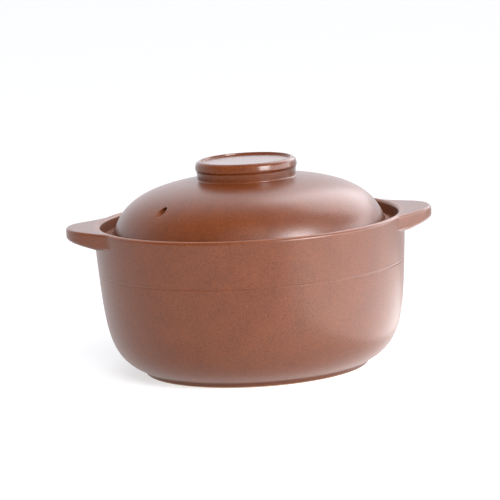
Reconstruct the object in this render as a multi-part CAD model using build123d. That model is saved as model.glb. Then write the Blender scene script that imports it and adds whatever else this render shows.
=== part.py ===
from build123d import *
import os
from math import cos, radians, sin, tan

# Covered stoneware sand pot, stood on its foot ring.
# Millimetres, +Z up, origin on the bench under the middle of the pot, the two ears along X.

# Pot, outside
rim_radius = 110.0
rim_height = 106.5
lip_thickness = 4.6
foot_radius = 79.5
foot_height = 2.8
# Pull points of the wall's curve, in shares of rim radius and rim height
belly_pull_shares = (0.945, 0.133)
waist_pull_shares = (0.970, 0.339)

# Foot ring and the shallow hollow inside it
foot_edge_round = 1.5
foot_ring_width = 12.0
foot_hollow_depth = 1.8
foot_hollow_slope = 2.5

# Line scored round the wall while the pot turned on the wheel
score_below_rim = 33.0
score_round = 0.6
score_depth = 0.3

# Pot, inside
wall_thickness = 6.8
floor_thickness = 8.5
floor_corner_inset = 14.0

# Gallery, the step inside the rim that carries the lid
gallery_depth = 9.5
gallery_draft = 1.2
gallery_corner_round = 1.8
ledge_width = 10.2
ledge_nose_height = 5.5
ledge_nose_round = 1.6
ledge_under_drop = 7.5
ledge_root_round = 5.0

# Ears, two flat lugs luted to the wall just under the rim
ear_reach = 19.0
ear_lug_length = 40.0
ear_flank_deg = 45.0
ear_tip_half_width = 15.2
ear_tip_round = 32.0
ear_blend_round = 40.0
ear_blend_inset = 0.9
ear_below_rim = 0.3
ear_tip_rise = 1.2
ear_tip_thickness = 7.9
ear_root_thickness = 12.4
ear_top_round = 2.0
ear_under_round = 3.2

# Lid, with its seat and its locating ring clear of the pot
lid_rise = 36.2
lid_thickness = 6.6
flange_clearance = 4.9
flange_width = 3.1
flange_thickness = 3.2
flange_cove = 2.0
flange_edge_round = 1.1
locating_ring_clearance = 1.8
locating_ring_thickness = 4.3
locating_ring_depth = 6.0
locating_ring_round = 1.5
locating_ring_corner = 0.7
# Pull points of the dome's curves, in shares of their foot radius and rise
dome_side_shares = (0.936, 0.455)
dome_top_share = 0.836
hollow_side_shares = (0.965, 0.520)
hollow_top_share = 0.840

# Steam vent, one level hole through the dome
vent_radius = 2.9
vent_below_top = 15.3
vent_turn_deg = 219.0

# Knob, a thick disc on a short neck
knob_lip_radius = 36.0
knob_lip_height = 7.2
knob_neck_radius = 34.9
knob_neck_height = 6.2
knob_neck_taper = 0.6
knob_lip_round = 2.4
knob_lip_under_round = 1.6
knob_lip_under_slope = 0.7
knob_dish_radius = 31.6
knob_dish_depth = 1.4
knob_dish_slope = 0.5
knob_dish_round = 0.5
knob_lute_flare = 1.1

# Shared working values
cut_overrun = 5.0
search_steps = 40


def share_where(curve, passed):
    """How far along a profile curve, as a share, a test on its points first holds."""
    low, high = 0.0, 1.0
    for _ in range(search_steps):
        middle = (low + high) / 2
        if passed(curve @ middle):
            high = middle
        else:
            low = middle
    return high


def at(radius, height):
    """A point of a half section, drawn in the XZ plane."""
    return Vector(radius, 0, height)


def rounded(section, corner, radius):
    """The section with the corner nearest to one point rounded."""
    return fillet(section.vertices().sort_by_distance(corner)[0], radius)


def turned(section):
    """The solid that a half section makes when it is turned, its seam at the back, clear of the ears."""
    return Rot(0, 0, 90) * revolve(section, Axis.Z)


# Levels and radii that several pieces share
lip_centre_height = rim_height - lip_thickness / 2
ledge_height = rim_height - gallery_depth
gallery_radius = rim_radius - lip_thickness - gallery_draft
ledge_radius = gallery_radius - ledge_width
flange_radius = gallery_radius - flange_clearance
lid_foot_radius = flange_radius - flange_width
ledge_under_height = ledge_height - ledge_nose_height
lid_foot_height = ledge_height + flange_thickness
lid_top_height = lid_foot_height + lid_rise
ring_outer_radius = ledge_radius - locating_ring_clearance
ring_inner_radius = ring_outer_radius - locating_ring_thickness
ring_bottom = ledge_height - locating_ring_depth

# The wall's outer curve from the foot to the lip, and the lip's half round
foot_top = at(foot_radius, foot_height)
belly_pull = at(rim_radius * belly_pull_shares[0], rim_height * belly_pull_shares[1])
waist_pull = at(rim_radius * waist_pull_shares[0], rim_height * waist_pull_shares[1])
lip_outer = at(rim_radius, lip_centre_height)
lip_top = at(rim_radius - lip_thickness / 2, rim_height)
lip_inner = at(rim_radius - lip_thickness, lip_centre_height)
wall_curve = Bezier(foot_top, belly_pull, waist_pull, lip_outer)
lip_curve = ThreePointArc(lip_outer, lip_top, lip_inner)

# The dome's outer curve from the flange to the top
dome_curve = Bezier(
    at(lid_foot_radius, lid_foot_height),
    at(lid_foot_radius * dome_side_shares[0], lid_foot_height + lid_rise * dome_side_shares[1]),
    at(lid_foot_radius * dome_top_share, lid_top_height),
    at(0, lid_top_height),
)


def wall_radius(height):
    """Outer radius of the wall at one height."""
    return (wall_curve @ share_where(wall_curve, lambda point: point.Z > height)).X


def wall_solid():
    """The pot's outer form, filled in, for cutting the ears to the wall."""
    middle = Polyline(lip_top, at(0, rim_height), at(0, 0), at(foot_radius, 0), foot_top)
    return turned(make_face([wall_curve, lip_curve.trim(0, 0.5), *middle.edges()]))


def pot_section():
    """Half section of the pot: foot ring, wall, lip, gallery, ledge and floor."""
    gallery_corner = at(gallery_radius, ledge_height)
    nose_top = at(ledge_radius, ledge_height)
    nose_under = at(ledge_radius, ledge_under_height)
    root_height = ledge_under_height - ledge_under_drop
    ledge_root = at(wall_radius(root_height) - wall_thickness, root_height)
    floor_height = foot_hollow_depth + floor_thickness
    floor_corner = at(foot_radius - floor_corner_inset, floor_height)
    seat = Polyline(lip_inner, gallery_corner, nose_top, nose_under, ledge_root)
    inner_wall = Bezier(
        ledge_root,
        at(waist_pull.X - wall_thickness, waist_pull.Z),
        at(belly_pull.X - wall_thickness, floor_height),
        floor_corner,
    )
    ring_inner = at(foot_radius - foot_ring_width, 0)
    hollow_edge = at(foot_radius - foot_ring_width - foot_hollow_slope, foot_hollow_depth)
    foot_corner = at(foot_radius, 0)
    under = Polyline(
        floor_corner,
        at(0, floor_height),
        at(0, foot_hollow_depth),
        hollow_edge,
        ring_inner,
        foot_corner,
        foot_top,
    )
    section = make_face([wall_curve, lip_curve, *seat.edges(), inner_wall, *under.edges()])
    section = rounded(section, gallery_corner, gallery_corner_round)
    section = rounded(section, nose_top, ledge_nose_round)
    section = rounded(section, nose_under, ledge_nose_round)
    section = rounded(section, ledge_root, ledge_root_round)
    return rounded(section, foot_corner, foot_edge_round)


def score_line():
    """The ring of clay that the scored line takes out of the wall."""
    height = rim_height - score_below_rim
    middle = Pos(wall_radius(height) + score_round - score_depth, height)
    return turned(Plane.XZ * middle * Circle(score_round))


def pot_body():
    return turned(pot_section()) - score_line()


def ear_plan():
    """Outline of both ears and the round between them, seen from above."""
    tip = rim_radius + ear_reach
    root_half_width = ear_tip_half_width + ear_lug_length * tan(radians(ear_flank_deg))
    corners = [
        (tip - ear_lug_length, -root_half_width),
        (tip, -ear_tip_half_width),
        (tip, ear_tip_half_width),
        (tip - ear_lug_length, root_half_width),
    ]
    lug = make_face(Polyline(*corners, close=True))
    lug = fillet(lug.vertices().sort_by(Axis.X)[-2:], ear_tip_round)
    plan = Circle(rim_radius - ear_blend_inset) + lug + mirror(lug, Plane.YZ)
    inner_corners = [v for v in plan.vertices() if abs(v.X) < rim_radius]
    return fillet(inner_corners, ear_blend_round)


def ear_top(radius):
    """Height of the ears' upper side, which rises a little to the tips."""
    return rim_height - ear_below_rim + ear_tip_rise * (radius - rim_radius) / ear_reach


def ear_under(radius):
    """Height of the ears' underside, which leaves them thinner at the tips."""
    tapered = ear_root_thickness - ear_tip_thickness
    thickness = ear_root_thickness - tapered * (radius - rim_radius) / ear_reach
    return ear_top(radius) - thickness


def ear_blank():
    """Both ears before they are cut to the wall, with the ring that joins them."""
    inner = rim_radius + ear_reach - ear_lug_length
    outer = rim_radius + ear_reach + cut_overrun
    section = Polyline(
        at(inner, ear_top(inner)),
        at(outer, ear_top(outer)),
        at(outer, ear_under(outer)),
        at(inner, ear_under(inner)),
        close=True,
    )
    bottom = ear_under(inner)
    prism = extrude(Pos(0, 0, bottom) * ear_plan(), ear_top(outer) - bottom)
    blank = prism & turned(make_face(section))
    blank = fillet(blank.faces().sort_by(Axis.Z)[-1].outer_wire().edges(), ear_top_round)
    return fillet(blank.faces().sort_by(Axis.Z)[0].outer_wire().edges(), ear_under_round)


def ears():
    """The two luted ears, left then right."""
    return (ear_blank() - wall_solid()).solids().sort_by(Axis.X)


def lid_section():
    """Half section of the lid: dome, flange, locating ring and hollow."""
    flange_top = at(flange_radius, lid_foot_height)
    flange_under = at(flange_radius, ledge_height)
    seat_corner = at(ring_outer_radius, ledge_height)
    ring_outer = at(ring_outer_radius, ring_bottom)
    ring_inner = at(ring_inner_radius, ring_bottom)
    hollow_foot = at(ring_inner_radius, ledge_height)
    hollow_top = lid_top_height - lid_thickness
    hollow_rise = hollow_top - ledge_height
    hollow_curve = Bezier(
        hollow_foot,
        at(ring_inner_radius * hollow_side_shares[0], ledge_height + hollow_rise * hollow_side_shares[1]),
        at(ring_inner_radius * hollow_top_share, hollow_top),
        at(0, hollow_top),
    )
    dome_foot = at(lid_foot_radius, lid_foot_height)
    rim = Polyline(dome_foot, flange_top, flange_under, seat_corner, ring_outer, ring_inner, hollow_foot)
    axis = Line(at(0, hollow_top), at(0, lid_top_height))
    section = make_face([dome_curve, *rim.edges(), hollow_curve, axis])
    section = rounded(section, dome_foot, flange_cove)
    section = rounded(section, flange_top, flange_edge_round)
    section = rounded(section, flange_under, flange_edge_round)
    section = rounded(section, seat_corner, locating_ring_corner)
    section = rounded(section, ring_outer, locating_ring_round)
    return rounded(section, ring_inner, locating_ring_round)


def vent_hole():
    """The level steam vent, from the middle of the hollow out past the dome."""
    outward = Vector(cos(radians(vent_turn_deg)), sin(radians(vent_turn_deg)), 0)
    middle = at(0, lid_top_height - vent_below_top)
    return extrude(Plane(origin=middle, z_dir=outward) * Circle(vent_radius), flange_radius)


def lid_dome():
    return turned(lid_section()) - vent_hole()


def lid_knob():
    """The knob: dished lip, neck and the flare of slip that lutes it to the dome."""
    neck_foot = knob_neck_radius - knob_neck_taper
    flare_radius = neck_foot + knob_lute_flare
    seat_start = share_where(dome_curve, lambda point: point.X < flare_radius)
    seat = dome_curve.trim(seat_start, 1)
    seat_edge = seat @ 0
    lip_bottom = seat_edge.Z + knob_neck_height
    top = lip_bottom + knob_lip_height
    dish_foot = at(knob_dish_radius - knob_dish_slope, top - knob_dish_depth)
    dish_edge = at(knob_dish_radius, top)
    lip_edge = at(knob_lip_radius, top)
    lip_under = at(knob_lip_radius, lip_bottom + knob_lip_under_slope)
    flare_top = at(neck_foot, seat_edge.Z + knob_lute_flare)
    flare_centre = at(flare_radius, flare_top.Z)
    flare_middle = flare_centre - (at(1, 1).normalized() * knob_lute_flare)
    flare = ThreePointArc(seat_edge, flare_middle, flare_top)
    outline = Polyline(
        flare_top,
        at(knob_neck_radius, lip_bottom),
        lip_under,
        lip_edge,
        dish_edge,
        dish_foot,
        at(0, top - knob_dish_depth),
        at(0, lid_top_height),
    )
    section = make_face([seat, flare, *outline.edges()])
    section = rounded(section, dish_foot, knob_dish_round)
    section = rounded(section, dish_edge, knob_dish_round)
    section = rounded(section, lip_edge, knob_lip_round)
    return turned(rounded(section, lip_under, knob_lip_under_round))


ear_left, ear_right = ears()
pieces = {
    "pot_body": pot_body(),
    "ear_left": ear_left,
    "ear_right": ear_right,
    "lid_dome": lid_dome(),
    "lid_knob": lid_knob(),
}

os.makedirs("parts", exist_ok=True)
for name, piece in pieces.items():
    piece.label = name
    export_step(piece, f"parts/{name}.step")
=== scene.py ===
import math

import bmesh
import bpy
import numpy as np
from mathutils import Matrix, Vector


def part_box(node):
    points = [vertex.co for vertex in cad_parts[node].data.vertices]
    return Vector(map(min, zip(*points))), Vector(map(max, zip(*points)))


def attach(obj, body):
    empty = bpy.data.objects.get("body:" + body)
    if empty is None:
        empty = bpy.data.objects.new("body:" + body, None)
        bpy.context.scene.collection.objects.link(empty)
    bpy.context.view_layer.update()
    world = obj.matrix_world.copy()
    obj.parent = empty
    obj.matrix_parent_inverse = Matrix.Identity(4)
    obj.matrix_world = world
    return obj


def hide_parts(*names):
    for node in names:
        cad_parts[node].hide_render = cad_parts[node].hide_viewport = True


# Covered stoneware sand pot: a thrown pot with two luted ears, and a lid with its knob.
# Shapes are drawn in millimetres as (radius, height) lines and turned into meshes in metres.

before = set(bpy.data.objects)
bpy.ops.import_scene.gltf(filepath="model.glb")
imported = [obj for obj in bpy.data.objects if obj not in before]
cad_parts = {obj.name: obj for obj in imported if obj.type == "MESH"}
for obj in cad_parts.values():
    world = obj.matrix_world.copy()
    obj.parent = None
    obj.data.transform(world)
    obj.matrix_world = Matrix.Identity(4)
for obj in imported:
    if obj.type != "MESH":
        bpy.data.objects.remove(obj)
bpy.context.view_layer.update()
mm = 0.001


def partBox(node):
    low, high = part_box(node)
    return np.array(low) / mm, np.array(high) / mm


# Drawing helpers

def bezier(start, pullA, pullB, end, count=70):
    t = np.linspace(0, 1, count)[:, None]
    a, b, c, d = (np.array(p, float) for p in (start, pullA, pullB, end))
    return (1 - t) ** 3 * a + 3 * (1 - t) ** 2 * t * b + 3 * (1 - t) * t * t * c + t ** 3 * d


def softLine(corners, arcSteps=9):
    # corners are (radius, height, rounding); each rounding becomes a true arc
    line = [np.array(corners[0][:2], float)]
    for before, here, after in zip(corners, corners[1:], corners[2:]):
        a, p, b = (np.array(c[:2], float) for c in (before, here, after))
        lengthA, lengthB = np.linalg.norm(a - p), np.linalg.norm(b - p)
        if here[2] <= 0 or min(lengthA, lengthB) < 1e-6:
            line.append(p)
            continue
        u, v = (a - p) / lengthA, (b - p) / lengthB
        half = math.acos(max(-1, min(1, float(u @ v)))) / 2
        reach = min(here[2] / math.tan(half), 0.98 * min(lengthA, lengthB))
        size = reach * math.tan(half)
        middle = p + (u + v) / np.linalg.norm(u + v) * size / math.sin(half)
        first, last = p + u * reach - middle, p + v * reach - middle
        turn = math.pi - 2 * half
        for k in range(arcSteps + 1):
            s = k / arcSteps
            spin = (math.sin((1 - s) * turn) * first + math.sin(s * turn) * last) / math.sin(turn)
            line.append(middle + spin)
    line.append(np.array(corners[-1][:2], float))
    return np.array(line)


def spread(line, count, bendShare=0.0):
    # the same line with count points; a bend share brings them closer together where it bends
    line = line[np.r_[True, np.hypot(*np.diff(line, axis=0).T) > 1e-7]]
    step = np.diff(line, axis=0)
    length = np.hypot(step[:, 0], step[:, 1])
    heading = np.unwrap(np.arctan2(step[:, 1], step[:, 0]))
    bend = np.abs(np.diff(heading))
    bendAt = np.r_[0, (np.r_[bend, 0] + np.r_[0, bend]) / 2]
    weight = length / length.sum() + bendShare * bendAt[1:] / max(bendAt.sum(), 1e-6)
    along = np.r_[0, np.cumsum(weight)]
    wanted = np.linspace(0, along[-1], count)
    return np.c_[np.interp(wanted, along, line[:, 0]), np.interp(wanted, along, line[:, 1])]


def radiusAt(line, height):
    order = np.argsort(line[:, 1])
    return np.interp(height, line[order, 1], line[order, 0])


def smooth(value, low, high):
    t = min(max((value - low) / (high - low), 0), 1)
    return t * t * (3 - 2 * t)


def unrounded(line):
    return [(*point, 0) for point in line]


def turnAngles(turns):
    return np.arange(turns) * 2 * math.pi / turns


def turnedPoints(sections):
    # one section for each turn; its first and last points lie on the axis and are shared
    angles = turnAngles(len(sections))[:, None]
    radii, heights = sections[:, 1:-1, 0], sections[:, 1:-1, 1]
    grid = np.stack([radii * np.cos(angles), radii * np.sin(angles), heights], axis=2)
    poles = [[0, 0, sections[0, 0, 1]], [0, 0, sections[0, -1, 1]]]
    return grid, np.r_[grid.reshape(-1, 3), poles]


def turnedFaces(turns, rows, leftOut=()):
    leftOut = set(leftOut)
    faces = []
    for i in range(turns):
        here, there = i * rows, (i + 1) % turns * rows
        faces += [
            (here + j, there + j, there + j + 1, here + j + 1)
            for j in range(rows - 1)
            if (i, j) not in leftOut
        ]
        faces.append((turns * rows, there, here))
        faces.append((turns * rows + 1, here + rows - 1, there + rows - 1))
    return faces


def makePiece(name, points, faces, body, nodes, materials):
    mesh = bpy.data.meshes.new(name)
    mesh.from_pydata((np.asarray(points) * mm).tolist(), [], faces)
    work = bmesh.new()
    work.from_mesh(mesh)
    loose = [vertex for vertex in work.verts if not vertex.link_faces]
    bmesh.ops.delete(work, geom=loose, context="VERTS")
    bmesh.ops.recalc_face_normals(work, faces=work.faces)
    work.to_mesh(mesh)
    work.free()
    mesh.polygons.foreach_set("use_smooth", [True] * len(mesh.polygons))
    for material in materials:
        mesh.materials.append(material)
    piece = bpy.data.objects.new(name, mesh)
    bpy.context.scene.collection.objects.link(piece)
    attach(piece, body)
    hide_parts(*nodes)
    print(name, "has", len(mesh.polygons), "faces")
    return piece


def ringPlace(face):
    # radius and height of a face's middle
    return math.hypot(face.center.x, face.center.y) / mm, face.center.z / mm


# Glaze and bare clay

glazeLook = {
    "darkClay": (0.098, 0.0210, 0.0044),
    "midClay": (0.140, 0.0335, 0.0076),
    "lightClay": (0.185, 0.0500, 0.0125),
    "clayStops": (0.28, 0.5, 0.72),  # where the three clays lie on the grain's noise
    "grainSize": 1.0,
    "mottleShade": (0.86, 0.84, 0.84),
    "mottleStops": (0.3, 0.7),
    "mottleSize": 14.0,
    "speck": (0.070, 0.0160, 0.0040),
    "speckStops": (0.08, 0.17),  # full and faded out, as shares of the spacing
    "speckSpacing": 2.8,
    "specular": 0.5,
    "roughness": (0.285, 0.35),
    "bumpDepth": 0.1,
    "bumpStrength": 0.35,
}

# the knob is wetter, the seats are thinly glazed and dull
knobLook = {**glazeLook, "roughness": (0.16, 0.22), "specular": 0.38, "bumpStrength": 0.15}
seatLook = {**glazeLook, "roughness": (0.6, 0.7), "specular": 0.3}

rimWearAndHighlightLook = {
    **glazeLook,  # paler on the crown of the lip: partly thin, worn glaze and partly a painted highlight
    "darkClay": (0.135, 0.0330, 0.0085),
    "midClay": (0.195, 0.0530, 0.0145),
    "lightClay": (0.250, 0.0760, 0.0230),
    "speck": (0.120, 0.0300, 0.0080),
}

bareLook = {
    "clays": [(0.36, 0.22, 0.14), (0.50, 0.33, 0.21)],
    "clayStops": (0.3, 0.7),
    "grainSize": 0.8,
    "roughness": 0.9,
    "bumpDepth": 0.15,
    "bumpStrength": 0.5,
}


class Nodes:
    # a material with short ways to add and join its nodes
    def __init__(self, name):
        self.material = bpy.data.materials.new(name)
        self.material.use_nodes = True
        self.tree = self.material.node_tree
        self.shader = self.tree.nodes["Principled BSDF"]
        self.coords = self.tree.nodes.new("ShaderNodeTexCoord").outputs["Object"]

    def add(self, kind, **inputs):
        node = self.tree.nodes.new(kind)
        for name, value in inputs.items():
            self.put(node, name.replace("_", " "), value)
        return node

    def put(self, node, name, value):
        socket = node.inputs[name]
        if isinstance(value, bpy.types.NodeSocket):
            self.tree.links.new(value, socket)
        else:
            socket.default_value = value

    def noise(self, size, detail, roughness):
        return self.add(
            "ShaderNodeTexNoise", Vector=self.coords, Scale=1 / (size * mm),
            Detail=detail, Roughness=roughness,
        ).outputs["Fac"]

    def ramp(self, source, stops, colours):
        node = self.add("ShaderNodeValToRGB", Fac=source)
        elements = node.color_ramp.elements
        while len(elements) < len(stops):
            elements.new(1)
        for element, place, colour in zip(elements, stops, colours):
            element.position = place
            element.color = (*colour, 1)
        return node.outputs["Color"]

    def mix(self, blend, amount, first, second):
        node = self.add("ShaderNodeMix")
        node.data_type = "RGBA"
        node.blend_type = blend
        for place, value in ((0, amount), (6, first), (7, second)):  # its sockets for colours
            self.put(node, place, value)
        return node.outputs[2]

    def bump(self, height, strength, depth):
        node = self.add("ShaderNodeBump", Height=height, Strength=strength, Distance=depth * mm)
        self.put(self.shader, "Normal", node.outputs["Normal"])


def glazedClay(name, look):
    nodes = Nodes(name)
    white, black = (1, 1, 1), (0, 0, 0)
    grain = nodes.noise(look["grainSize"], detail=2.5, roughness=0.7)
    mottle = nodes.noise(look["mottleSize"], detail=3, roughness=0.55)
    clays = look["darkClay"], look["midClay"], look["lightClay"]
    clay = nodes.ramp(grain, look["clayStops"], clays)
    shade = nodes.ramp(mottle, look["mottleStops"], (look["mottleShade"], white))
    cells = nodes.add(
        "ShaderNodeTexVoronoi", Vector=nodes.coords, Scale=1 / (look["speckSpacing"] * mm),
    )
    dots = nodes.ramp(cells.outputs["Distance"], look["speckStops"], (white, black))
    colour = nodes.mix("MULTIPLY", 1.0, clay, shade)
    colour = nodes.mix("MIX", dots, colour, (*look["speck"], 1))
    nodes.put(nodes.shader, "Base Color", colour)
    low, high = look["roughness"]
    gloss = nodes.add("ShaderNodeMapRange", Value=mottle, To_Min=low, To_Max=high)
    nodes.put(nodes.shader, "Roughness", gloss.outputs["Result"])
    nodes.put(nodes.shader, "Specular IOR Level", look["specular"])
    nodes.bump(grain, look["bumpStrength"], look["bumpDepth"])
    return nodes.material


def bareClay(name, look):
    nodes = Nodes(name)
    grain = nodes.noise(look["grainSize"], detail=4, roughness=0.7)
    nodes.put(nodes.shader, "Base Color", nodes.ramp(grain, look["clayStops"], look["clays"]))
    nodes.put(nodes.shader, "Roughness", look["roughness"])
    nodes.bump(grain, look["bumpStrength"], look["bumpDepth"])
    return nodes.material


brownGlaze = glazedClay("brownGlaze", glazeLook)
knobGlaze = glazedClay("knobGlaze", knobLook)
# paler glaze for the lip's crown, which also paints the highlight along it
rimWearAndHighlightGlaze = glazedClay("rimWearAndHighlightGlaze", rimWearAndHighlightLook)
seatGlaze = glazedClay("seatGlaze", seatLook)
bareStoneware = bareClay("bareStoneware", bareLook)
print("glaze and bare clay are mixed")


# Pot with its two luted ears

potHigh = partBox("pot_body")[1]
pot = {
    "rimRadius": potHigh[0],
    "rimHeight": potHigh[2],
    "lipThickness": 4.6,
    "footRadius": 79.5,
    "footHeight": 2.8,
    "footRound": 1.5,
    "bellyPullShares": (0.972, 0.133),  # of the rim's radius and height
    "waistPullShares": (0.958, 0.339),
    "footRingWidth": 12.0,
    "underHollow": 1.8,
    "underSlope": 2.5,
    "underRounds": (0.8, 0.5),  # in the hollow's corner and on the ring's inner edge
    "floorHeight": 10.3,
    "floorCornerInset": 14.0,
    "wallThickness": 6.8,
    "galleryDepth": 9.5,
    "galleryDraft": 1.2,
    "galleryRound": 1.8,
    "ledgeWidth": 10.2,
    "ledgeNose": 5.5,
    "ledgeNoseRound": 1.6,
    "ledgeUnderDrop": 7.5,
    "ledgeRootRound": 5.0,
    "scoreBelowRim": 33.0,
    "scoreDepth": 0.22,
    "scoreWidth": 0.42,
    "scoreBurr": 0.06,
    "scoreWaver": (0.10, 0.05),  # up and down, two and five times round
    "scoreUnevenness": 0.15,  # of its depth
    "scoreZone": 1.8,  # finely drawn strip above and below the line
    "earZoneDepth": 20.0,  # the wall is drawn turn by turn from here up
    "wearAndHighlightDepth": 1.1,  # pale crown of the lip, partly wear and partly a painted highlight, down and out from its top
    "wearAndHighlightReach": 1.6,
    "turns": 480,
    "rows": {
        "under": 44, "lower": 56, "score": 19, "between": 12,
        "side": 60, "crown": 28, "inside": 120,
    },
}

ear = {
    "tipRadius": partBox("ear_right")[1][0],
    "tipHalfWidth": 15.2,
    "tipRound": 32.0,
    "blendRound": 40.0,
    "blendInset": 0.9,
    "belowRim": 0.3,
    "tipRise": 1.2,
    "tipThickness": 7.9,
    "rootThickness": 12.4,
    "topRound": 2.0,
    "underRound": 3.2,
    "creaseRound": 1.0,
    "rootRoundShares": {"crease": 0.25, "under": 0.7},  # of how far the ear stands out, at most
    "faceDrop": 0.4,
    "creaseGap": 1.5,
    "fadeReach": 7.0,  # where the ear runs out into the wall it also gets thinner
    "fadeShare": 0.8,
}

lipCentreHeight = pot["rimHeight"] - pot["lipThickness"] / 2
crown = (pot["rimRadius"] - pot["lipThickness"] / 2, pot["rimHeight"])
seatHeight = pot["rimHeight"] - pot["galleryDepth"]
scoreHeight = pot["rimHeight"] - pot["scoreBelowRim"]
galleryRadius = pot["rimRadius"] - pot["lipThickness"] - pot["galleryDraft"]
ledgeRadius = galleryRadius - pot["ledgeWidth"]
bellyPull = np.array([pot["rimRadius"], pot["rimHeight"]]) * pot["bellyPullShares"]
waistPull = np.array([pot["rimRadius"], pot["rimHeight"]]) * pot["waistPullShares"]
wallLine = bezier(
    (pot["footRadius"], pot["footHeight"]), bellyPull, waistPull,
    (pot["rimRadius"], lipCentreHeight), 300,
)


def earOutline(angles):
    # radius of the ears' plan, and of the wall's round between them, at each angle
    plain = pot["rimRadius"] - ear["blendInset"]
    tip, halfWidth = ear["tipRadius"], ear["tipHalfWidth"]
    tipRound, blendRound = ear["tipRound"], ear["blendRound"]
    outward = np.array([1, 1]) / math.sqrt(2)  # square to the flank
    flank = (tip + halfWidth) / math.sqrt(2)
    aside = math.sqrt((plain + blendRound) ** 2 - (flank + blendRound) ** 2)
    blendMiddle = outward * (flank + blendRound) + np.array([1, -1]) / math.sqrt(2) * aside
    blendEnd = blendMiddle - outward * blendRound
    tipMiddle = np.array([tip - tipRound, halfWidth - tipRound * math.tan(math.pi / 8)])
    tipStart = tipMiddle + outward * tipRound

    def turnOf(point):
        return math.atan2(point[1], point[0])

    radii = []
    for angle in angles:
        ray = np.array([abs(math.cos(angle)), abs(math.sin(angle))])
        if turnOf(ray) > turnOf(blendMiddle):
            radii.append(plain)
        elif turnOf(ray) > turnOf(blendEnd):
            along = blendMiddle @ ray
            inside = math.sqrt(along ** 2 - blendMiddle @ blendMiddle + blendRound ** 2)
            radii.append(along - inside)
        elif turnOf(ray) > turnOf(tipStart):
            radii.append(flank / (outward @ ray))
        else:
            along = tipMiddle @ ray
            onRound = along + math.sqrt(along ** 2 - tipMiddle @ tipMiddle + tipRound ** 2)
            radii.append(min(onRound, tip / ray[0]))
    return radii


def earSection(reach):
    # from the wall, over the ear where there is one, to the crown of the lip
    start = pot["rimHeight"] - pot["earZoneDepth"]
    stand = reach - radiusAt(wallLine, pot["rimHeight"] - ear["rootThickness"])
    share = smooth(stand, 0, ear["fadeReach"])
    outShare = max(0, reach - pot["rimRadius"]) / (ear["tipRadius"] - pot["rimRadius"])
    lipRound = pot["lipThickness"] / 2
    top = pot["rimHeight"] - ear["belowRim"] * share
    drop = ear["rootThickness"] * (ear["fadeShare"] + (1 - ear["fadeShare"]) * share)
    faceMiddle = top - lipRound - ear["faceDrop"]
    wall = wallLine[wallLine[:, 1] > start]
    side = [(radiusAt(wallLine, start), start, 0)]
    if stand > 0:
        crease = (radiusAt(wallLine, top - drop), top - drop)
        outer = max(reach, crease[0])
        rise = ear["rootThickness"] - ear["tipThickness"] + ear["tipRise"]
        shares = ear["rootRoundShares"]
        creaseRound = min(ear["creaseRound"], shares["crease"] * stand)
        underRound = min(ear["underRound"], shares["under"] * stand)
        side += unrounded(wall[wall[:, 1] < crease[1] - ear["creaseGap"]])
        side.append((*crease, creaseRound))
        side.append((outer, crease[1] + rise * outShare, underRound))
        face = max(outer, radiusAt(wallLine, faceMiddle))
    else:
        face = radiusAt(wallLine, faceMiddle)
        side += unrounded(wall[wall[:, 1] < faceMiddle - 0.1])
    side.append((face, faceMiddle, 0))
    topRound = lipRound + (ear["topRound"] - lipRound) * share
    edge = (max(face, pot["rimRadius"]), top + ear["tipRise"] * outShare, topRound)
    over = [(face, faceMiddle, 0), edge, (*crown, 0)]
    side = spread(softLine(side, 12), pot["rows"]["side"])
    return np.r_[side, spread(softLine(over, 12), pot["rows"]["crown"], 1.0)[1:]]


def scoredLine(angle):
    # the groove cut round the wall while the pot was turned, a little uneven as cut by hand
    zone, waver, uneven = pot["scoreZone"], pot["scoreWaver"], pot["scoreUnevenness"]
    heights = scoreHeight + np.linspace(-zone, zone, pot["rows"]["score"])
    middle = scoreHeight + waver[0] * math.sin(2 * angle + 1) + waver[1] * math.sin(5 * angle)
    depth = pot["scoreDepth"] * (1 - uneven + uneven * math.sin(3 * angle + 2))
    off = (heights - middle) / pot["scoreWidth"]
    burr = pot["scoreBurr"] * np.exp(-((off - 2) ** 2))  # two widths above the groove
    cut = depth * np.exp(-off ** 2) - burr
    return np.c_[radiusAt(wallLine, heights) - cut, heights]


def potUnder():
    ringInner = pot["footRadius"] - pot["footRingWidth"]
    under = softLine([
        (0, pot["underHollow"], 0),
        (ringInner - pot["underSlope"], pot["underHollow"], pot["underRounds"][0]),
        (ringInner, 0, pot["underRounds"][1]),
        (pot["footRadius"], 0, pot["footRound"]),
        (*wallLine[0], 0),
    ])
    return spread(under, pot["rows"]["under"], 0.5)


def potInside():
    # lip, gallery, ledge, inner wall and floor
    rootHeight = seatHeight - pot["ledgeNose"] - pot["ledgeUnderDrop"]
    rootRadius = radiusAt(wallLine, rootHeight) - pot["wallThickness"]
    innerWall = bezier(
        (rootRadius, rootHeight),
        (waistPull[0] - pot["wallThickness"], waistPull[1]),
        (bellyPull[0] - pot["wallThickness"], pot["floorHeight"]),
        (pot["footRadius"] - pot["floorCornerInset"], pot["floorHeight"]),
    )
    inside = softLine([
        (*crown, 0),
        (pot["rimRadius"] - pot["lipThickness"], pot["rimHeight"], pot["lipThickness"] / 2),
        (galleryRadius, seatHeight, pot["galleryRound"]),
        (ledgeRadius, seatHeight, pot["ledgeNoseRound"]),
        (ledgeRadius, seatHeight - pot["ledgeNose"], pot["ledgeNoseRound"]),
        (rootRadius, rootHeight, pot["ledgeRootRound"]),
        *unrounded(innerWall[4:]),
        (0, pot["floorHeight"], 0),
    ])
    return spread(inside, pot["rows"]["inside"], 0.6)


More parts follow.
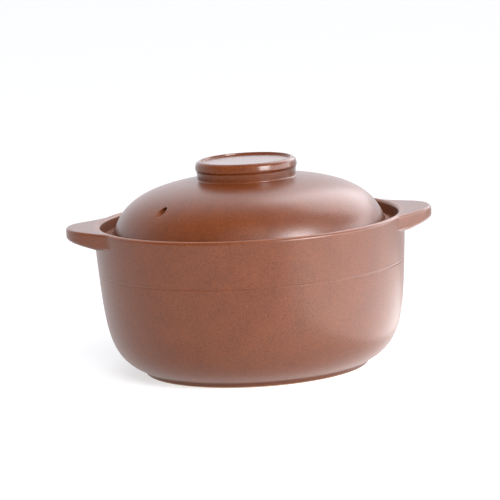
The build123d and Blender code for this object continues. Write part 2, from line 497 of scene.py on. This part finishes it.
def potSkin(radius, height, down):
    # which of the pot's four materials a face gets
    glazed, bare, seat, wearAndHighlight = range(4)
    onSeat = seatHeight - 1.5 < height < pot["rimHeight"] - 2
    onCrown = height > pot["rimHeight"] - pot["wearAndHighlightDepth"]
    if height < pot["underHollow"] + 0.3 and down:
        return bare
    if radius < galleryRadius + 1 and onSeat:
        return seat
    # the crown of the lip gets the paler glaze: partly wear, partly a painted highlight
    if radius < crown[0] + pot["wearAndHighlightReach"] and onCrown:
        return wearAndHighlight
    return glazed


def buildPot():
    rows, heights = pot["rows"], wallLine[:, 1]
    earZone = pot["rimHeight"] - pot["earZoneDepth"]
    margin = pot["scoreZone"] + 0.2
    lower = wallLine[heights < scoreHeight - margin]
    upper = wallLine[(heights > scoreHeight + margin) & (heights < earZone)]
    below = np.r_[potUnder(), spread(lower, rows["lower"])[1:]]
    between = spread(upper, rows["between"])
    inside = potInside()[1:]
    angles = turnAngles(pot["turns"])
    sections = np.array([
        np.r_[below, scoredLine(angle), between, earSection(reach), inside]
        for angle, reach in zip(angles, earOutline(angles))
    ])
    grid, points = turnedPoints(sections)
    piece = makePiece(
        "pot", points, turnedFaces(*grid.shape[:2]), "pot",
        ["pot_body", "ear_left", "ear_right"], [brownGlaze, bareStoneware, seatGlaze, rimWearAndHighlightGlaze],
    )
    for face in piece.data.polygons:
        face.material_index = potSkin(*ringPlace(face), face.normal.z < -0.5)


buildPot()


# Lid with its flange, locating ring and steam vent

lidLow, lidHigh = partBox("lid_dome")
lid = {
    "topHeight": lidHigh[2],
    "ringBottom": lidLow[2],
    "flangeRadius": lidHigh[0],
    "flangeThickness": 3.2,
    "flangeWidth": 3.1,
    "flangeCove": 2.0,
    "flangeRound": 1.1,
    "ringClearance": 1.8,
    "ringThickness": 4.3,
    "ringRound": 1.5,
    "ringCorner": 0.7,
    "thickness": 6.6,
    "domeSideShares": (0.936, 0.455),  # of the dome foot's radius and of the rise
    "domeTopShare": 0.836,
    "hollowSideShares": (0.965, 0.520),
    "hollowTopShare": 0.840,
    "turns": 480,
    "rows": {"outer": 84, "rim": 96, "inner": 70},
    "coveEnd": 20,  # points of the dome's line under its cove
    "rimEnds": {"outer": 59, "inner": 29},  # points of both lines where dome and rim join
}

vent = {
    "radius": 2.9,
    "belowTop": 15.3,
    "turnDeg": 219.0,
    "softening": {"outer": 0.6, "inner": 0.6},
    "patchTurns": 6,
    "patchRows": 8,
    "patchRings": 8,
    "roundRings": 5,
    "tubeRings": 8,
}

domeFoot = (lid["flangeRadius"] - lid["flangeWidth"], seatHeight + lid["flangeThickness"])
ringOuter = ledgeRadius - lid["ringClearance"]
ringInner = ringOuter - lid["ringThickness"]


def domeCurve(foot, top, sideShares, topShare):
    side = (foot[0] * sideShares[0], foot[1] + (top - foot[1]) * sideShares[1])
    return bezier(foot, side, (foot[0] * topShare, top), (0, top), 400)


domeLine = domeCurve(domeFoot, lid["topHeight"], lid["domeSideShares"], lid["domeTopShare"])
hollowLine = domeCurve(
    (ringInner, seatHeight), lid["topHeight"] - lid["thickness"],
    lid["hollowSideShares"], lid["hollowTopShare"],
)


def lidSection():
    # returns the section and the rows of its outer and inner dome
    rows, joinOut, joinIn = lid["rows"], lid["rimEnds"]["outer"], lid["rimEnds"]["inner"]
    rim = softLine([
        *unrounded(domeLine[lid["coveEnd"]:joinOut + 1][::-1]),
        (*domeFoot, lid["flangeCove"]),
        (lid["flangeRadius"], domeFoot[1], lid["flangeRound"]),
        (lid["flangeRadius"], seatHeight, lid["flangeRound"]),
        (ringOuter, seatHeight, lid["ringCorner"]),
        (ringOuter, lid["ringBottom"], lid["ringRound"]),
        (ringInner, lid["ringBottom"], lid["ringRound"]),
        (ringInner, seatHeight, 0),
        *unrounded(hollowLine[1:joinIn + 1]),
    ])
    outer = spread(domeLine[joinOut:][::-1], rows["outer"])
    inner = spread(hollowLine[joinIn:], rows["inner"])
    section = np.r_[outer, spread(rim, rows["rim"], 0.6)[1:], inner[1:]]
    domes = {
        "outer": range(rows["outer"] - 2),
        "inner": range(rows["outer"] + rows["rim"] - 2, len(section) - 2),
    }
    return section, domes


def ventPatch(section, domeRows, grid, firstIndex):
    # a block of the dome's faces, outside and inside, becomes the hole with its softened edges
    turns, rows = grid.shape[:2]
    flatGrid = grid.reshape(-1, 3)
    height = lid["topHeight"] - vent["belowTop"]
    turn = math.radians(vent["turnDeg"])
    outward = np.array([math.cos(turn), math.sin(turn), 0])
    across = np.array([-math.sin(turn), math.cos(turn), 0])
    middleTurn = round(turn / (2 * math.pi) * turns)
    a, b = vent["patchTurns"], vent["patchRows"]
    steps = [(a, k) for k in range(b)] + [(k, b) for k in range(a, -a, -1)]
    steps += [(-a, k) for k in range(b, -b, -1)] + [(k, -b) for k in range(-a, a)]
    steps += [(a, k) for k in range(-b, 0)]
    leftOut, loops, newPoints, holeAim = [], {}, [], None

    def onDome(line, flat):
        radius = radiusAt(line, height + flat[:, 1])
        depth = np.sqrt(radius ** 2 - flat[:, 0] ** 2)
        upward = np.array([0, 0, 1])
        return outward * depth[:, None] + across * flat[:, :1] + upward * (height + flat[:, 1:])

    def addLoop(points):
        first = firstIndex + sum(len(loop) for loop in newPoints)
        newPoints.append(points)
        return list(range(first, first + len(points)))

    for side, line, rowStep in (("outer", domeLine, -1), ("inner", hollowLine, 1)):
        near = min(domeRows[side], key=lambda j: abs(section[j + 1, 1] - height))
        edge = [(middleTurn + i) % turns * rows + near + rowStep * k for i, k in steps]
        flat = np.c_[flatGrid[edge] @ across, flatGrid[edge][:, 2] - height]
        if holeAim is None:
            holeAim = flat / np.linalg.norm(flat, axis=1)[:, None]
        softened = vent["radius"] + vent["softening"][side]
        loops[side] = [edge]
        for k in range(1, vent["patchRings"] + 1):
            share = k / vent["patchRings"]
            ring = flat * (1 - share) + holeAim * softened * share
            loops[side].append(addLoop(onDome(line, ring)))
        rim, lip = onDome(line, holeAim * softened), onDome(line, holeAim * vent["radius"])
        throat = lip + outward * vent["softening"][side] * rowStep
        for k in range(1, vent["roundRings"] + 1):
            t = k / vent["roundRings"]
            ring = (1 - t) ** 2 * rim + 2 * t * (1 - t) * lip + t * t * throat
            loops[side].append(addLoop(ring))
        leftOut += [
            ((middleTurn + i) % turns, j)
            for i in range(-a, a) for j in range(near - b, near + b)
        ]
    rings = vent["patchRings"] + vent["roundRings"]
    outerThroat, innerThroat = newPoints[rings - 1], newPoints[2 * rings - 1]
    tube = [
        addLoop(outerThroat + (innerThroat - outerThroat) * k / vent["tubeRings"])
        for k in range(1, vent["tubeRings"])
    ]
    path = loops["outer"] + tube + loops["inner"][::-1]
    faces = [
        (first[k], first[(k + 1) % len(first)], second[(k + 1) % len(first)], second[k])
        for first, second in zip(path, path[1:]) for k in range(len(first))
    ]
    return leftOut, np.concatenate(newPoints), faces


def inVent(point):
    # inside the hole, or on the edge that it softens
    turn = math.radians(vent["turnDeg"])
    aside = point.y * math.cos(turn) - point.x * math.sin(turn)
    height = point.z - lid["topHeight"] + vent["belowTop"]
    outside = point.x * math.cos(turn) + point.y * math.sin(turn) > 0
    return outside and math.hypot(aside, height) < vent["radius"] + 0.1


def buildLid():
    section, domeRows = lidSection()
    grid, points = turnedPoints(np.repeat(section[None], lid["turns"], axis=0))
    leftOut, ventPoints, ventFaces = ventPatch(section, domeRows, grid, len(points))
    piece = makePiece(
        "lid", np.r_[points, ventPoints], turnedFaces(*grid.shape[:2], leftOut) + ventFaces,
        "lid", ["lid_dome"], [brownGlaze, bareStoneware, seatGlaze],
    )
    for face in piece.data.polygons:
        radius, height = ringPlace(face)
        onFlange = radius > domeFoot[0] and height < domeFoot[1] + 1
        if height < seatHeight + 0.2:
            face.material_index = 1  # bare where it rests
        elif onFlange or inVent(face.center / mm):
            face.material_index = 2  # dull


buildLid()


# Knob, luted to the dome

lipRadius, _, knobTop = partBox("lid_knob")[1]
knob = {
    "lipRadius": lipRadius,
    "lipHeight": 7.2,
    "neckRadius": 35.1,
    "neckTaper": 0.6,
    "neckRound": 1.0,
    "lipLean": 1.0,
    "lipRound": 3.4,
    "lipUnderRound": 2.2,
    "lipUnderSlope": 1.5,
    "dishRadius": 31.6,
    "dishDepth": 1.4,
    "dishSlope": 0.5,
    "dishRound": 0.5,
    "flare": 1.1,  # the slip squeezed out where the knob is luted on
    "flareRoundShare": 0.9,
    "sunk": 0.15,
    "turns": 360,
    "rows": {"outline": 110, "seat": 24},
}


def buildKnob():
    rows = knob["rows"]
    neckFoot = knob["neckRadius"] - knob["neckTaper"]
    flareRadius = neckFoot + knob["flare"]
    seat = domeLine[domeLine[:, 0] < flareRadius] - np.array([0, knob["sunk"]])
    flareFoot = (flareRadius, seat[0][1])
    lipBottom = knobTop - knob["lipHeight"]
    dishHeight = knobTop - knob["dishDepth"]
    outline = softLine([
        (0, dishHeight, 0),
        (knob["dishRadius"] - knob["dishSlope"], dishHeight, knob["dishRound"]),
        (knob["dishRadius"], knobTop, knob["dishRound"]),
        (knob["lipRadius"] - knob["lipLean"], knobTop, knob["lipRound"]),
        (knob["lipRadius"], lipBottom + knob["lipUnderSlope"], knob["lipUnderRound"]),
        (knob["neckRadius"], lipBottom, knob["neckRound"]),
        (neckFoot, flareFoot[1], knob["flare"] * knob["flareRoundShare"]),
        (*flareFoot, 0),
    ])
    section = np.r_[spread(outline, rows["outline"], 1.0), spread(seat, rows["seat"])]
    grid, points = turnedPoints(np.repeat(section[None], knob["turns"], axis=0))
    makePiece(
        "knob", points, turnedFaces(*grid.shape[:2]), "lid",
        ["lid_knob"], [knobGlaze],
    )


buildKnob()
print("pot, lid and knob stand in place")


# Floor, light and camera

studio = {
    "floorSize": 40.0,  # metres
    "floorColour": (0.42, 0.42, 0.43),
    "floorRoughness": 0.9,
    "floorSpecular": 0.1,
    "floorGlow": 0.62,  # the table is lit a little from below, as for a cut-out
    "tableGlow": {"middle": (230, -110, 0), "near": 80, "far": 330, "strength": 1.1},
    "tableSheen": {
        "middle": (350, -170, 2),
        "sizes": [(0.30, 0.38), (0.40, 0.58), (0.50, 0.80)],  # across and along y, in metres
        "radiance": 1.75,
        "colour": (1.0, 0.98, 0.98),
    },
    "roomColour": (0.92, 0.94, 1.0),
    "roomLight": 1.15,
    # side is azimuth, from the front towards the right, and elevation;
    # reach is the cosines of the angles from it where the zone starts and is full
    "bright": {"side": (158, 5), "reach": (0.45, 0.95), "light": 1.6},
    "dark": {"side": (-45, 47), "reach": (0.35, 0.9), "light": 0.28},
    "panels": [
        # name, azimuth, elevation, then in metres distance, width and height, watts, colour, use
        ("frontFill", 6, 40, 1.5, 1.0, 0.9, 29, (1.0, 0.99, 0.98), "matt"),
        ("keyPanel", 40, 25, 1.3, 0.52, 0.64, 23, (0.92, 0.96, 1.0), "gloss"),
        ("rightPanel", 84, 9, 0.9, 1.0, 0.5, 8.0, (0.99, 0.97, 1.0), "gloss"),
        ("backPanel", 134, 40, 1.0, 0.8, 0.90, 7.8, (1.0, 0.97, 1.0), "gloss"),
    ],
    "potMiddle": (0, 0, 70.0),
}

view = {
    "eye": (-132.8, -2087.2, 418.9),
    "aim": (-0.4, 2.3, 82.4),
    "rollDeg": 3.3,
    "lens": 216,
    "sensor": 36,
    "clipEnd": 100,
}


def buildFloor():
    half = studio["floorSize"] / 2
    mesh = bpy.data.meshes.new("floor")
    corners = [(-half, -half, 0), (half, -half, 0), (half, half, 0), (-half, half, 0)]
    mesh.from_pydata(corners, [], [(0, 1, 2, 3)])
    nodes = Nodes("paleFloor")
    nodes.put(nodes.shader, "Base Color", (*studio["floorColour"], 1))
    nodes.put(nodes.shader, "Roughness", studio["floorRoughness"])
    nodes.put(nodes.shader, "Specular IOR Level", studio["floorSpecular"])
    nodes.put(nodes.shader, "Emission Color", (1, 1, 1, 1))
    glow = studio["tableGlow"]
    away = nodes.tree.nodes.new("ShaderNodeVectorMath")
    away.operation = "DISTANCE"
    nodes.put(away, 0, nodes.coords)
    nodes.put(away, 1, [place * mm for place in glow["middle"]])
    fade = nodes.add(
        "ShaderNodeMapRange", Value=away.outputs["Value"],
        From_Min=glow["near"] * mm, From_Max=glow["far"] * mm,
        To_Min=glow["strength"] + studio["floorGlow"], To_Max=studio["floorGlow"],
    )
    fade.interpolation_type = "SMOOTHSTEP"
    nodes.put(nodes.shader, "Emission Strength", fade.outputs["Result"])
    mesh.materials.append(nodes.material)
    floor = bpy.data.objects.new("floor", mesh)
    bpy.context.scene.collection.objects.link(floor)


def outwards(azimuth, elevation):
    a, e = math.radians(azimuth), math.radians(elevation)
    return Vector((math.sin(a) * math.cos(e), -math.cos(a) * math.cos(e), math.sin(e)))


def buildRoom():
    # an evenly lit pale room, brighter behind the pot and dark above its front
    world = bpy.data.worlds.new("paleRoom")
    bpy.context.scene.world = world
    world.use_nodes = True
    nodes, links = world.node_tree.nodes, world.node_tree.links
    direction = nodes.new("ShaderNodeTexCoord").outputs["Generated"]

    def fade(zone, low, high):
        near = nodes.new("ShaderNodeVectorMath")
        near.operation = "DOT_PRODUCT"
        links.new(direction, near.inputs[0])
        near.inputs[1].default_value = outwards(*zone["side"])
        node = nodes.new("ShaderNodeMapRange")
        node.interpolation_type = "SMOOTHSTEP"
        links.new(near.outputs["Value"], node.inputs["Value"])
        ends = ("From Min", "From Max", "To Min", "To Max")
        for name, value in zip(ends, (*zone["reach"], low, high)):
            node.inputs[name].default_value = value
        return node.outputs["Result"]

    bright, dark = studio["bright"], studio["dark"]
    behind = fade(bright, studio["roomLight"], bright["light"])
    unlit = fade(dark, 1.0, dark["light"] / studio["roomLight"])
    light = nodes.new("ShaderNodeMath")
    light.operation = "MULTIPLY"
    links.new(behind, light.inputs[0])
    links.new(unlit, light.inputs[1])
    background = nodes["Background"]
    background.inputs["Color"].default_value = (*studio["roomColour"], 1)
    links.new(light.outputs["Value"], background.inputs["Strength"])


def addPanel(name, place, out, width, height, watts, colour, use):
    data = bpy.data.lights.new(name, "AREA")
    data.shape = "RECTANGLE"
    data.size, data.size_y = width, height
    data.energy = watts
    data.color = colour
    light = bpy.data.objects.new(name, data)
    light.location = place
    light.rotation_mode = "QUATERNION"
    light.rotation_quaternion = out.to_track_quat("Z", "Y")
    light.visible_camera = False
    light.visible_diffuse = use == "matt"
    light.visible_glossy = use == "gloss"
    bpy.context.scene.collection.objects.link(light)
    return light


def buildPanels():
    middle = Vector(studio["potMiddle"]) * mm
    for name, azimuth, elevation, distance, width, height, watts, colour, use in studio["panels"]:
        out = outwards(azimuth, elevation)
        addPanel(name, middle + out * distance, out, width, height, watts, colour, use)
    sheen = studio["tableSheen"]
    for width, length in sheen["sizes"]:
        # the sheets lie on each other, so that the middle is the brightest
        watts = sheen["radiance"] * math.pi * math.pi * width * length / 4
        light = addPanel(
            "tableSheen", Vector(sheen["middle"]) * mm, Vector((0, 0, -1)), width, length,
            watts, sheen["colour"], "gloss",
        )
        light.rotation_quaternion = (0, 1, 0, 0)  # facing up
        light.data.shape = "ELLIPSE"


def buildCamera():
    eye, aim = (Vector(view[place]) * mm for place in ("eye", "aim"))
    ahead = (aim - eye).normalized()
    level = ahead.cross(Vector((0, 0, 1))).normalized()
    upright = level.cross(ahead)
    roll = math.radians(view["rollDeg"])
    right = level * math.cos(roll) - upright * math.sin(roll)
    top = level * math.sin(roll) + upright * math.cos(roll)
    data = bpy.data.cameras.new("camera")
    data.lens, data.sensor_width = view["lens"], view["sensor"]
    data.clip_end = view["clipEnd"]
    camera = bpy.data.objects.new("camera", data)
    turned = Matrix((right, top, -ahead)).transposed().to_4x4()
    camera.matrix_world = Matrix.Translation(eye) @ turned
    bpy.context.scene.collection.objects.link(camera)
    bpy.context.scene.camera = camera


buildFloor()
buildRoom()
buildPanels()
buildCamera()
bpy.context.scene.view_settings.view_transform = "Standard"
print("floor, lights and camera are set")
